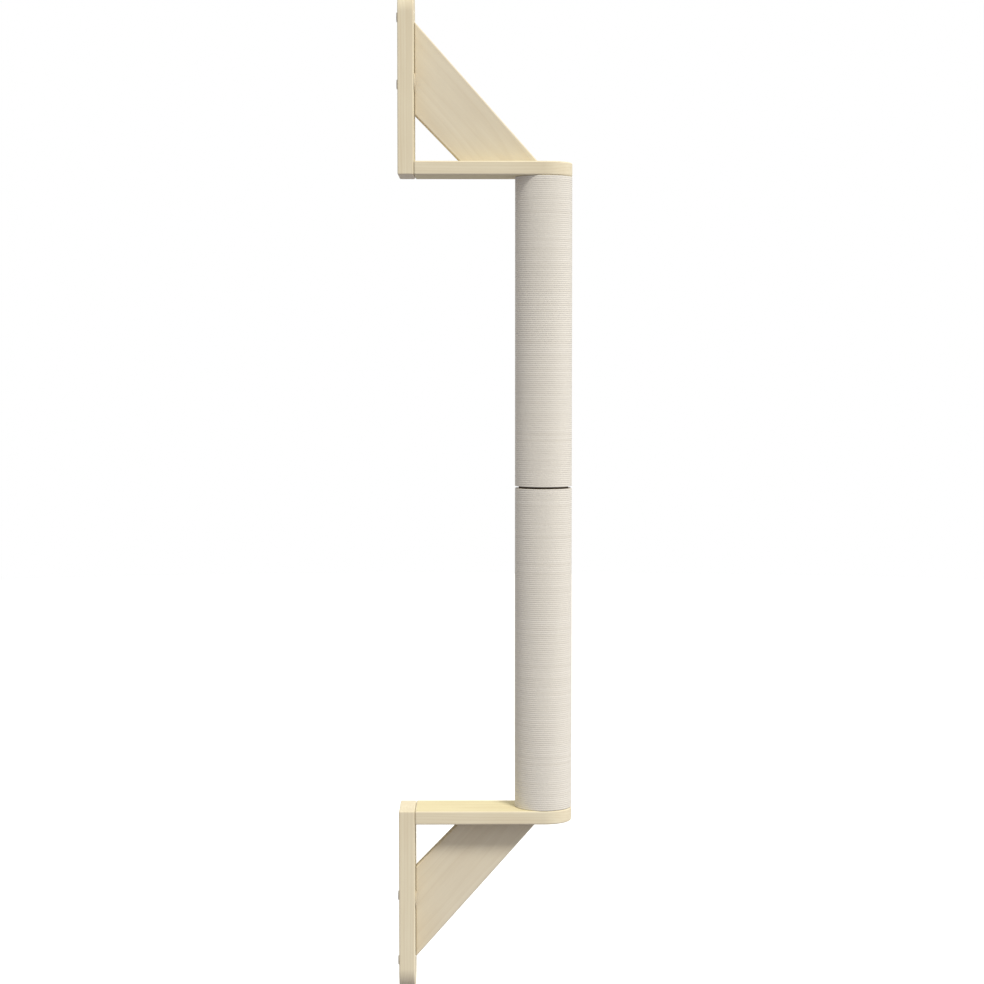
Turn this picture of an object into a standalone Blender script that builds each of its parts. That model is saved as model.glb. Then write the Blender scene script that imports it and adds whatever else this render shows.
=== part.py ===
"""Wall-mounted cat scratching post: two mirrored wooden brackets with a rope-wound post between them.

Metres. +X runs out from the wall, +Y across the boards and +Z up. The origin is on the wall plane,
at the centre of the lowest wall pad. Each bracket is built in its own frame, whose zero level is the
shelf's face on the post side and whose +Z points away from the post.
"""

import math

import bmesh
import bpy
from mathutils import Vector

# Clearances
GAP = 0.0003
OVERCUT = 0.001

# Boards
BOARD_WIDTH = 0.075
EDGE_RADIUS = 0.002
PLATE_THICKNESS = 0.021
PLATE_LENGTH = 0.247
SHELF_THICKNESS = 0.018
POST_FROM_PLATE_BACK = 0.190

# Diagonal brace: its legs run from the inner corner of plate and shelf
BRACE_THICKNESS = 0.021
BRACE_OUTER_RISE = 0.182
BRACE_OUTER_RUN = 0.162
BRACE_INNER_RISE = 0.0615
BRACE_INNER_RUN = 0.060

# Dowels that peg the boards together
DOWEL_RADIUS = 0.004
DOWEL_LENGTH = 0.030
DOWEL_CHAMFER = 0.0008
DOWEL_DEPTH_IN_PLATE = 0.012
DOWEL_DEPTH_IN_SHELF = 0.010
DOWEL_FROM_BOARD_EDGE = 0.0155
BRACE_DOWEL_SPACING = 0.048

# Wall side: screw holes under covers, and pads that hold the plate off the wall
FIXING_HEIGHT = 0.120
SCREW_HOLE_RADIUS = 0.00275
COVER_RADIUS = 0.0115
COVER_RIM = 0.0009
COVER_DOME = 0.0013
COVER_STEM_RADIUS = 0.0067
COVER_STEM_LENGTH = 0.005
PAD_RADIUS = 0.00625
PAD_THICKNESS = 0.002
PAD_ROUNDING = 0.0005
PAD_FROM_PLATE_END = 0.040

# Post sections, each from its shelf to the middle of the joint
UPPER_SECTION = 0.406
LOWER_SECTION = 0.424
JOINT_GAP = 0.0027
SPACER_RADIUS = 0.0325
TUBE_WALL = 0.004
PLUG_THICKNESS = 0.012

# Rope: only the turns at the ends of each section are wound, the rest is a plain sleeve
ROPE_DIAMETER = 0.00215
ROPE_PITCH = 0.0026
ROPE_SEAT = 0.0006
ROPE_NOTCH_RADIUS = 0.0026
ROPE_NOTCH_LIFT = 0.001
ROPE_END_ANGLE = math.pi
END_TURNS = 5
POINTS_PER_TURN = 24
LEAST_SELF_GAP = 0.0004

# Joining stud and shelf bolts, with the tee nuts that they screw into
STUD_RADIUS = 0.004
BOLT_RADIUS = 0.003
BOLT_LENGTH = 0.030
BOLT_HEAD_RADIUS = 0.005
BOLT_HEAD_HEIGHT = 0.006
HEX_ACROSS_FLATS = 0.005
HEX_DEPTH = 0.003
THREAD_END_CHAMFER = 0.0006
WASHER_RADIUS = 0.006
WASHER_THICKNESS = 0.0016
COUNTERBORE_CLEARANCE = 0.0008
HEAD_SETBACK = 0.0008
TEE_NUT_WALL = 0.001
TEE_NUT_FLANGE_OVERHANG = 0.005
TEE_NUT_FLANGE = 0.0015

# Facets
ROUND_END_STEPS = 24
POST_STEPS = 48
DISC_STEPS = 24
PEG_STEPS = 12
HEX_SIDES = 6
BEVEL_SEGMENTS = 2
DOME_STEPS = 4
PAD_ROUNDING_STEPS = 3

# Mesh limits: points this near are one, faces this near to level are one, and edges past this are sharp
WELD_DISTANCE = 1e-6
FLAT_ANGLE = math.radians(0.5)
SHARP_ANGLE = math.radians(30)

# Places that follow from the sizes
HALF_WIDTH = BOARD_WIDTH / 2
PLATE_BACK = PAD_THICKNESS + GAP
PLATE_FRONT = PLATE_BACK + PLATE_THICKNESS
POST_AXIS = PLATE_BACK + POST_FROM_PLATE_BACK
OUTER_PAD_HEIGHT = PLATE_LENGTH - PAD_FROM_PLATE_END
LOWER_SHELF_LEVEL = OUTER_PAD_HEIGHT
JOINT_LEVEL = LOWER_SHELF_LEVEL + LOWER_SECTION
UPPER_SHELF_LEVEL = JOINT_LEVEL + UPPER_SECTION
ROPE_CENTRE_RADIUS = HALF_WIDTH - ROPE_DIAMETER / 2
TUBE_RADIUS = HALF_WIDTH - ROPE_DIAMETER - ROPE_SEAT
TUBE_BORE = TUBE_RADIUS - TUBE_WALL
COVER_OFFSET = (BRACE_THICKNESS / 2 + HALF_WIDTH) / 2

# Colour, roughness and metallic value of each finish
PINE = ((0.72, 0.62, 0.44), 0.55, 0.0)
BEECH = ((0.68, 0.52, 0.33), 0.6, 0.0)
PLYWOOD = ((0.62, 0.50, 0.34), 0.7, 0.0)
CARDBOARD = ((0.45, 0.33, 0.21), 0.9, 0.0)
SISAL = ((0.66, 0.61, 0.50), 0.9, 0.0)
ZINC_STEEL = ((0.62, 0.63, 0.65), 0.35, 1.0)
DARK_PLASTIC = ((0.05, 0.04, 0.035), 0.5, 0.0)
RUBBER = ((0.30, 0.29, 0.27), 0.8, 0.0)


def clear_scene():
    """Remove what the file holds and return the collections for the parts and the cutters."""
    for thing in list(bpy.data.objects):
        bpy.data.objects.remove(thing, do_unlink=True)
    parts = bpy.data.collections.new("wall_cat_scratching_post")
    cutters = bpy.data.collections.new("cutters")
    for collection in (parts, cutters):
        bpy.context.scene.collection.children.link(collection)
    return parts, cutters


PARTS, CUTTERS = clear_scene()


def finish_material(name, finish):
    """A plain Principled material from a colour, a roughness and a metallic value."""
    colour, roughness, metallic = finish
    material = bpy.data.materials.new(f"{name}_finish")
    material.use_nodes = True
    shader = material.node_tree.nodes["Principled BSDF"]
    shader.inputs["Base Color"].default_value = (*colour, 1.0)
    shader.inputs["Roughness"].default_value = roughness
    shader.inputs["Metallic"].default_value = metallic
    material.diffuse_color = (*colour, 1.0)
    return material


def place(thing, parent, location, rotation=(0, 0, 0)):
    """Set an object's place in its parent's frame."""
    thing.parent = parent
    thing.location = location
    thing.rotation_euler = rotation
    return thing


def as_part(thing, finish):
    """Put an object among the parts, in its own finish."""
    PARTS.objects.link(thing)
    thing.data.materials.append(finish_material(thing.name, finish))
    return thing


def as_cutter(thing):
    """Put an object among the cutters, out of the render and drawn as a wire."""
    CUTTERS.objects.link(thing)
    thing.hide_render = True
    thing.display_type = "WIRE"
    return thing


def cut(target, cutter):
    """Take a cutter's volume out of a part."""
    boolean = target.modifiers.new(cutter.name, "BOOLEAN")
    boolean.operation = "DIFFERENCE"
    boolean.solver = "EXACT"
    boolean.object = cutter


def arc(centre, radius, start, end, steps):
    """Points on an arc between two angles in degrees, both ends included."""
    angles = [math.radians(start + (end - start) * i / steps) for i in range(steps + 1)]
    return [(centre[0] + radius * math.cos(a), centre[1] + radius * math.sin(a)) for a in angles]


def mesh_from_curve(name, curve):
    """Turn a curve into a welded mesh whose flat faces are whole."""
    source = bpy.data.objects.new(name, curve)
    CUTTERS.objects.link(source)
    evaluated = source.evaluated_get(bpy.context.evaluated_depsgraph_get())
    mesh = bpy.data.meshes.new_from_object(evaluated)
    bpy.data.objects.remove(source, do_unlink=True)
    bpy.data.curves.remove(curve)
    work = bmesh.new()
    work.from_mesh(mesh)
    bmesh.ops.remove_doubles(work, verts=work.verts, dist=WELD_DISTANCE)
    bmesh.ops.dissolve_limit(work, angle_limit=FLAT_ANGLE, verts=work.verts, edges=work.edges)
    work.to_mesh(mesh)
    work.free()
    mesh.name = name
    return mesh


def board(name, outline, thickness):
    """A board: a flat outline, extruded equally to both sides, with all its edges rounded."""
    curve = bpy.data.curves.new(name, "CURVE")
    curve.dimensions = "2D"
    curve.fill_mode = "BOTH"
    curve.extrude = thickness / 2
    spline = curve.splines.new("POLY")
    spline.points.add(len(outline) - 1)
    for point, (x, y) in zip(spline.points, outline):
        point.co = (x, y, 0, 1)
    spline.use_cyclic_u = True
    thing = bpy.data.objects.new(name, mesh_from_curve(name, curve))
    thing.data.shade_smooth()
    thing.data.set_sharp_from_angle(angle=SHARP_ANGLE)
    bevel = thing.modifiers.new("rounded_edges", "BEVEL")
    bevel.width = EDGE_RADIUS
    bevel.segments = BEVEL_SEGMENTS
    bevel.limit_method = "ANGLE"
    bevel.angle_limit = SHARP_ANGLE
    return as_part(thing, PINE)


def round_ended_outline(length):
    """A board's outline: square at zero, half round at its far end."""
    tip = arc((length - HALF_WIDTH, 0), HALF_WIDTH, -90, 90, ROUND_END_STEPS)
    return [(0, -HALF_WIDTH), *tip, (0, HALF_WIDTH)]


def turned(name, profile, steps, closed=False):
    """A turned shape: a profile of radius and height pairs that runs down its outer side.

    A closed profile gives a ring, and an open one starts and ends on the axis.
    """
    mesh = bpy.data.meshes.new(name)
    edges = [(i, i + 1) for i in range(len(profile) - 1)]
    if closed:
        edges.append((len(profile) - 1, 0))
    mesh.from_pydata([(radius, 0, height) for radius, height in profile], edges, [])
    thing = bpy.data.objects.new(name, mesh)
    screw = thing.modifiers.new("turned", "SCREW")
    screw.steps = steps
    screw.render_steps = steps
    screw.use_merge_vertices = True
    screw.merge_threshold = WELD_DISTANCE
    screw.use_smooth_shade = True
    return thing


def ring(name, outer, inner, bottom, top, steps):
    """A plain turned ring."""
    profile = [(outer, top), (outer, bottom), (inner, bottom), (inner, top)]
    return turned(name, profile, steps, closed=True)


def rod(name, radius, bottom, top, chamfer, steps):
    """A turned rod with chamfered ends."""
    profile = [
        (0, top),
        (radius - chamfer, top),
        (radius, top - chamfer),
        (radius, bottom + chamfer),
        (radius - chamfer, bottom),
        (0, bottom),
    ]
    return turned(name, profile, steps)


def drill(name, radius, bottom, top, steps=PEG_STEPS):
    """A cutter shaped as a plain cylinder between two heights on its axis."""
    mesh = bpy.data.meshes.new(name)
    work = bmesh.new()
    bmesh.ops.create_cone(
        work, cap_ends=True, segments=steps, radius1=radius, radius2=radius, depth=top - bottom
    )
    bmesh.ops.translate(work, verts=work.verts, vec=(0, 0, (top + bottom) / 2))
    work.to_mesh(mesh)
    work.free()
    return as_cutter(bpy.data.objects.new(name, mesh))


def along_x():
    """Rotation that lays a turned shape's axis along +X."""
    return (0, math.pi / 2, 0)


def dowel(name, first, second, parent, location, rotation, depth_in_first):
    """A dowel that pegs two boards, and the hole for it in both. It points out of the first board."""
    bottom = -depth_in_first
    top = DOWEL_LENGTH - depth_in_first
    hole = drill(f"{name}_hole", DOWEL_RADIUS + GAP, bottom - GAP, top + GAP)
    place(hole, parent, location, rotation)
    peg = as_part(rod(name, DOWEL_RADIUS, bottom, top, DOWEL_CHAMFER, PEG_STEPS), BEECH)
    place(peg, parent, location, rotation)
    cut(first, hole)
    cut(second, hole)


def wall_plate(prefix, frame):
    """The upright board: square at the shelf, half round at its far end."""
    plate = board(f"{prefix}_wall_plate", round_ended_outline(PLATE_LENGTH), PLATE_THICKNESS)
    return place(plate, frame, (PLATE_BACK + PLATE_THICKNESS / 2, 0, 0), (0, -math.pi / 2, 0))


def shelf_board(prefix, frame):
    """The shelf: butts against the plate and ends half round, over the end of the post."""
    start = PLATE_FRONT + GAP
    outline = round_ended_outline(POST_AXIS + HALF_WIDTH - start)
    shelf = board(f"{prefix}_shelf", outline, SHELF_THICKNESS)
    return place(shelf, frame, (start, 0, SHELF_THICKNESS / 2))


def brace_board(prefix, frame):
    """The tapered diagonal brace, on edge in the middle of the boards' width."""
    outline = [
        (0, BRACE_INNER_RISE),
        (BRACE_INNER_RUN, 0),
        (BRACE_OUTER_RUN, 0),
        (0, BRACE_OUTER_RISE),
    ]
    brace = board(f"{prefix}_brace", outline, BRACE_THICKNESS)
    corner = (PLATE_FRONT + GAP, 0, SHELF_THICKNESS + GAP)
    return place(brace, frame, corner, (math.pi / 2, 0, 0))


def peg_boards(prefix, frame, plate, shelf, brace, sides):
    """Six dowels: two from the plate into the shelf, and two into each foot of the brace."""
    edge = HALF_WIDTH - DOWEL_FROM_BOARD_EDGE
    for side, y in zip(sides, (-edge, edge)):
        place_at = (PLATE_FRONT, y, SHELF_THICKNESS / 2)
        name = f"{prefix}_shelf_dowel_{side}"
        dowel(name, plate, shelf, frame, place_at, along_x(), DOWEL_DEPTH_IN_PLATE)
    wall_foot = SHELF_THICKNESS + (BRACE_INNER_RISE + BRACE_OUTER_RISE) / 2
    shelf_foot = PLATE_FRONT + (BRACE_INNER_RUN + BRACE_OUTER_RUN) / 2
    half = BRACE_DOWEL_SPACING / 2
    for end, step in (("inner", -half), ("outer", half)):
        place_at = (PLATE_FRONT, 0, wall_foot + step)
        name = f"{prefix}_brace_wall_dowel_{end}"
        dowel(name, plate, brace, frame, place_at, along_x(), DOWEL_DEPTH_IN_PLATE)
        place_at = (shelf_foot + step, 0, SHELF_THICKNESS)
        name = f"{prefix}_brace_shelf_dowel_{end}"
        dowel(name, shelf, brace, frame, place_at, (0, 0, 0), DOWEL_DEPTH_IN_SHELF)


def screw_cover(name, frame, plate, y):
    """A domed cover whose stem plugs the counterbore of a wall screw's hole, and both holes."""
    stem = COVER_STEM_RADIUS
    seat = GAP
    rim = seat + COVER_RIM
    dome_radius = (COVER_RADIUS**2 + COVER_DOME**2) / (2 * COVER_DOME)
    half_angle = math.degrees(math.asin(COVER_RADIUS / dome_radius))
    crown = arc((0, rim + COVER_DOME - dome_radius), dome_radius, 90, 90 - half_angle, DOME_STEPS)
    plug = [(stem, seat), (stem, -COVER_STEM_LENGTH), (0, -COVER_STEM_LENGTH)]
    profile = [*crown, (COVER_RADIUS, seat), *plug]
    cover = as_part(turned(name, profile, DISC_STEPS), PINE)
    place_at = (PLATE_FRONT, y, FIXING_HEIGHT)
    place(cover, frame, place_at, along_x())
    counterbore_bottom = -COVER_STEM_LENGTH - GAP
    counterbore = drill(f"{name}_counterbore", stem + GAP, counterbore_bottom, OVERCUT, DISC_STEPS)
    hole_bottom = -PLATE_THICKNESS - OVERCUT
    hole = drill(f"{name}_screw_hole", SCREW_HOLE_RADIUS, hole_bottom, OVERCUT)
    for cutter in (counterbore, hole):
        place(cutter, frame, place_at, along_x())
        cut(plate, cutter)


def wall_pad(name, frame, height):
    """A round pad between the wall and the plate's back, rounded where it meets the wall."""
    corner = (PAD_RADIUS - PAD_ROUNDING, PAD_ROUNDING)
    rounding = arc(corner, PAD_ROUNDING, 0, -90, PAD_ROUNDING_STEPS)
    profile = [(0, PAD_THICKNESS), (PAD_RADIUS, PAD_THICKNESS), *rounding, (0, 0)]
    pad = as_part(turned(name, profile, DISC_STEPS), RUBBER)
    place(pad, frame, (0, 0, height), along_x())


def shelf_bolt(prefix, frame, shelf):
    """The bolt from the shelf into the post's end, with its washer, in a counterbore."""
    head_top = SHELF_THICKNESS - HEAD_SETBACK
    head_seat = head_top - BOLT_HEAD_HEIGHT
    washer_bottom = head_seat - GAP - WASHER_THICKNESS
    end = head_seat - BOLT_LENGTH
    chamfer = THREAD_END_CHAMFER
    profile = [
        (0, head_top),
        (BOLT_HEAD_RADIUS - chamfer, head_top),
        (BOLT_HEAD_RADIUS, head_top - chamfer),
        (BOLT_HEAD_RADIUS, head_seat),
        (BOLT_RADIUS, head_seat),
        (BOLT_RADIUS, end + chamfer),
        (BOLT_RADIUS - chamfer, end),
        (0, end),
    ]
    bolt = as_part(turned(f"{prefix}_shelf_bolt", profile, DISC_STEPS), ZINC_STEEL)
    across_corners = HEX_ACROSS_FLATS / math.cos(math.pi / 6)
    socket = drill(
        f"{prefix}_hex_socket", across_corners / 2, head_top - HEX_DEPTH, head_top + OVERCUT, HEX_SIDES
    )
    cut(bolt, socket)
    bore = BOLT_RADIUS + GAP
    washer = ring(
        f"{prefix}_bolt_washer", WASHER_RADIUS, bore, washer_bottom, washer_bottom + WASHER_THICKNESS,
        DISC_STEPS,
    )
    as_part(washer, ZINC_STEEL)
    counterbore = drill(
        f"{prefix}_counterbore", WASHER_RADIUS + COUNTERBORE_CLEARANCE, washer_bottom - GAP,
        SHELF_THICKNESS + OVERCUT, DISC_STEPS,
    )
    hole = drill(f"{prefix}_bolt_hole", bore, -OVERCUT, SHELF_THICKNESS, DISC_STEPS)
    for thing in (bolt, socket, washer, counterbore, hole):
        place(thing, frame, (POST_AXIS, 0, 0))
    cut(shelf, counterbore)
    cut(shelf, hole)


def bracket(prefix, level, turn, sides):
    """One bracket with all that is fixed to it. A half turn about +X gives the lower one.

    The sides are named as seen from in front, first the one at -Y in the bracket's own frame.
    """
    frame = bpy.data.objects.new(f"{prefix}_bracket_frame", None)
    PARTS.objects.link(frame)
    place(frame, None, (0, 0, level), (turn, 0, 0))
    plate = wall_plate(prefix, frame)
    shelf = shelf_board(prefix, frame)
    brace = brace_board(prefix, frame)
    peg_boards(prefix, frame, plate, shelf, brace, sides)
    for side, y in zip(sides, (-COVER_OFFSET, COVER_OFFSET)):
        screw_cover(f"{prefix}_screw_cover_{side}", frame, plate, y)
    wall_pad(f"{prefix}_wall_pad_inner", frame, FIXING_HEIGHT)
    wall_pad(f"{prefix}_wall_pad_outer", frame, OUTER_PAD_HEIGHT)
    shelf_bolt(prefix, frame, shelf)


def rope_point(end, inward, turns):
    """A point on the rope's helix, a number of turns in from one end of a section, on the wall side."""
    angle = ROPE_END_ANGLE + inward * 2 * math.pi * turns
    height = end + inward * (ROPE_DIAMETER / 2 + ROPE_PITCH * turns)
    return Vector((ROPE_CENTRE_RADIUS * math.cos(angle), ROPE_CENTRE_RADIUS * math.sin(angle), height))


def rope_run(inward, turns):
    """The level direction in which the rope runs there."""
    angle = ROPE_END_ANGLE + inward * 2 * math.pi * turns
    return inward * Vector((-math.sin(angle), math.cos(angle), 0))


def rope_path(end, inward, turns_from, turns_to):
    """Points along the rope from one count of turns to another, with a straight run at both ends."""
    count = round((turns_to - turns_from) * POINTS_PER_TURN)
    points = [
        rope_point(end, inward, turns_from + (turns_to - turns_from) * i / count)
        for i in range(count + 1)
    ]
    start = points[0] - ROPE_DIAMETER * rope_run(inward, turns_from)
    finish = points[-1] + ROPE_DIAMETER * rope_run(inward, turns_to)
    return [start, *points, finish]


def tube_curve(name, points, radius):
    """A six-sided tube through points, with filled ends."""
    curve = bpy.data.curves.new(name, "CURVE")
    curve.dimensions = "3D"
    curve.bevel_depth = radius
    curve.bevel_resolution = 1
    curve.use_fill_caps = True
    spline = curve.splines.new("POLY")
    spline.points.add(len(points) - 1)
    for target, point in zip(spline.points, points):
        target.co = (*point, 1)
    return curve


def self_gap(points):
    """Least gap between a winding's own turns, measured between points half a turn or more apart."""
    reach = POINTS_PER_TURN // 2
    spans = [
        (first - second).length
        for i, first in enumerate(points)
        for second in points[i + reach:]
    ]
    return min(spans) - ROPE_DIAMETER


def end_turns(name, frame, end, inward, sleeve):
    """The rope's wound turns at one end of a section, and the notch where the last one joins the sleeve."""
    points = rope_path(end, inward, 0, END_TURNS)
    gap = self_gap(points)
    print(f"{name}: least gap to itself {gap * 1000:.3f} mm, over {LEAST_SELF_GAP * 1000:.1f} mm")
    rope = bpy.data.objects.new(name, tube_curve(name, points, ROPE_DIAMETER / 2))
    as_part(rope, SISAL)
    place(rope, frame, (0, 0, 0))
    notch_name = f"{name}_notch"
    notch_points = rope_path(end, inward, END_TURNS - 1, END_TURNS)
    run = (notch_points[-1] - notch_points[-2]).normalized()
    notch_points[-1] = notch_points[-1] + run * GAP
    notch_mesh = mesh_from_curve(notch_name, tube_curve(notch_name, notch_points, ROPE_NOTCH_RADIUS))
    notch = as_cutter(bpy.data.objects.new(notch_name, notch_mesh))
    place(notch, frame, (0, 0, -inward * ROPE_NOTCH_LIFT))
    cut(sleeve, notch)


def rope_wrap(prefix, frame, bottom, top, names):
    """The rope on one section: a plain sleeve between the wound turns at both ends."""
    covered = ROPE_DIAMETER + ROPE_PITCH * (END_TURNS - 1) + GAP
    sleeve = ring(
        f"{prefix}_rope_wrap", HALF_WIDTH, TUBE_RADIUS + GAP, bottom + covered, top - covered,
        POST_STEPS,
    )
    as_part(sleeve, SISAL)
    place(sleeve, frame, (0, 0, 0))
    end_turns(f"{prefix}_rope_turns_{names[0]}", frame, bottom, 1, sleeve)
    end_turns(f"{prefix}_rope_turns_{names[1]}", frame, top, -1, sleeve)


def end_plug(name, frame, end, inward, screw_radius):
    """A disc that closes the tube's end, and the tee nut that is set into it from inside."""
    far = end + inward * PLUG_THICKNESS
    bottom, top = sorted((end, far))
    barrel = screw_radius + GAP + TEE_NUT_WALL
    plug = ring(f"{name}_plug", TUBE_BORE - GAP, barrel + GAP, bottom, top, DISC_STEPS)
    as_part(plug, PLYWOOD)
    place(plug, frame, (0, 0, 0))
    bore = screw_radius + GAP
    flange = barrel + TEE_NUT_FLANGE_OVERHANG
    flange_top = -PLUG_THICKNESS - GAP
    flange_bottom = flange_top - TEE_NUT_FLANGE
    profile = [
        (barrel, 0),
        (barrel, flange_top),
        (flange, flange_top),
        (flange, flange_bottom),
        (bore, flange_bottom),
        (bore, 0),
    ]
    nut = as_part(turned(f"{name}_tee_nut", profile, PEG_STEPS, closed=True), ZINC_STEEL)
    place(nut, frame, (0, 0, end), (math.pi if inward > 0 else 0, 0, 0))


def post_section(prefix, frame, bottom, top, names, radii):
    """One section of the post: core tube, rope, and a plug with a tee nut in each end."""
    tube = ring(f"{prefix}_core_tube", TUBE_RADIUS, TUBE_BORE, bottom, top, POST_STEPS)
    as_part(tube, CARDBOARD)
    place(tube, frame, (0, 0, 0))
    rope_wrap(prefix, frame, bottom, top, names)
    end_plug(f"{prefix}_{names[0]}", frame, bottom, 1, radii[0])
    end_plug(f"{prefix}_{names[1]}", frame, top, -1, radii[1])


def post():
    """The two sections, with the stud and the dark spacer that join them."""
    frame = bpy.data.objects.new("post_frame", None)
    PARTS.objects.link(frame)
    place(frame, None, (POST_AXIS, 0, 0))
    half_gap = JOINT_GAP / 2
    lower_ends = (LOWER_SHELF_LEVEL + GAP, JOINT_LEVEL - half_gap)
    upper_ends = (JOINT_LEVEL + half_gap, UPPER_SHELF_LEVEL - GAP)
    post_section("lower", frame, *lower_ends, ("bottom", "joint"), (BOLT_RADIUS, STUD_RADIUS))
    post_section("upper", frame, *upper_ends, ("joint", "top"), (STUD_RADIUS, BOLT_RADIUS))
    reach = half_gap + PLUG_THICKNESS + TEE_NUT_FLANGE
    stud = rod(
        "joining_stud", STUD_RADIUS, JOINT_LEVEL - reach, JOINT_LEVEL + reach, THREAD_END_CHAMFER,
        PEG_STEPS,
    )
    as_part(stud, ZINC_STEEL)
    place(stud, frame, (0, 0, 0))
    half_spacer = half_gap - GAP
    spacer = ring(
        "joint_spacer", SPACER_RADIUS, STUD_RADIUS + GAP, JOINT_LEVEL - half_spacer,
        JOINT_LEVEL + half_spacer, POST_STEPS,
    )
    as_part(spacer, DARK_PLASTIC)
    place(spacer, frame, (0, 0, 0))


bracket("upper", UPPER_SHELF_LEVEL, 0, ("left", "right"))
bracket("lower", LOWER_SHELF_LEVEL, math.pi, ("right", "left"))
post()
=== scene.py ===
"""Looks of a wall-mounted cat scratching post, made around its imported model.

Metres, in the model's frame: +X runs out from the wall, +Y across the boards and +Z up.
The main view looks along +Y, with the wall plates on the left and the post on the right.
"""

import logging
import math
from abc import ABC, abstractmethod
from collections.abc import Callable, Iterator, Sequence
from contextlib import contextmanager
from dataclasses import dataclass, field, replace
from enum import Enum
from functools import partial, reduce
from itertools import pairwise

import bmesh
import bpy
import numpy as np
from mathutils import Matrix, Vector


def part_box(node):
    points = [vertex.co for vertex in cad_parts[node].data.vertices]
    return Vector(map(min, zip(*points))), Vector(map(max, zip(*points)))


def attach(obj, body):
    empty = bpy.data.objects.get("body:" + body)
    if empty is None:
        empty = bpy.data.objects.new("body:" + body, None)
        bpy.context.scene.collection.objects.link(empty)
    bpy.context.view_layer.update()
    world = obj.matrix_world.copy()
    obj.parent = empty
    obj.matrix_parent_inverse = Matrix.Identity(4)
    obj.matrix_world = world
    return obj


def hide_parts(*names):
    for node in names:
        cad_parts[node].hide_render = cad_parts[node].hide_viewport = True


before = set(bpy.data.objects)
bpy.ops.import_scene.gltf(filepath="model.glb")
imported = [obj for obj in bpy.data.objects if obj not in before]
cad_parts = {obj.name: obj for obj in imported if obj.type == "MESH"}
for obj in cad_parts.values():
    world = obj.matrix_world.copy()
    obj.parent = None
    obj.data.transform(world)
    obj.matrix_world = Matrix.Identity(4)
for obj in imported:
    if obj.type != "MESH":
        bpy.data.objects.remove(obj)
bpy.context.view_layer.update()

LOG = logging.getLogger("scratching_post")

Colour = tuple[float, float, float]
Profile = Sequence[tuple[float, float]]
Piece = bpy.types.Object
Mesh = bpy.types.Mesh
Material = bpy.types.Material
NodeTree = bpy.types.NodeTree
Outputs = bpy.types.NodeOutputs
Socket = bpy.types.NodeSocket
Feed = float | Sequence[float] | Socket
EdgeTest = Callable[[Vector, Vector], bool]

X_AXIS = Vector((1, 0, 0))
Y_AXIS = Vector((0, 1, 0))
Z_AXIS = Vector((0, 0, 1))
FULL_TURN = 2 * math.pi

BODY = "root"
CLEARANCE = 0.0003
OVERCUT = 0.001
MERGE_DISTANCE = 1e-5
NEAR = 1e-4
SHARP_ANGLE = math.radians(30)

# Facets round turned shapes, then steps along the arcs of their profiles
ROUND_STEPS = 64
PEG_HOLE_STEPS = 32
BORE_STEPS = 48
COVER_STEPS = 72
SPACER_STEPS = 128
DOME_STEPS = 10
RIM_STEPS = 3
PAD_STEPS = 6
CHAMFER_STEPS = 4

# The dowels of a bracket: each kind, and what tells the two of a kind apart
DOWEL_ENDS = {
    "shelf_dowel": ("left", "right"),
    "brace_wall_dowel": ("inner", "outer"),
    "brace_shelf_dowel": ("inner", "outer"),
}


class Facing(Enum):
    """Which way a bracket's boards run from its shelf: away from the post."""

    UP = 1
    DOWN = -1


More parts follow.
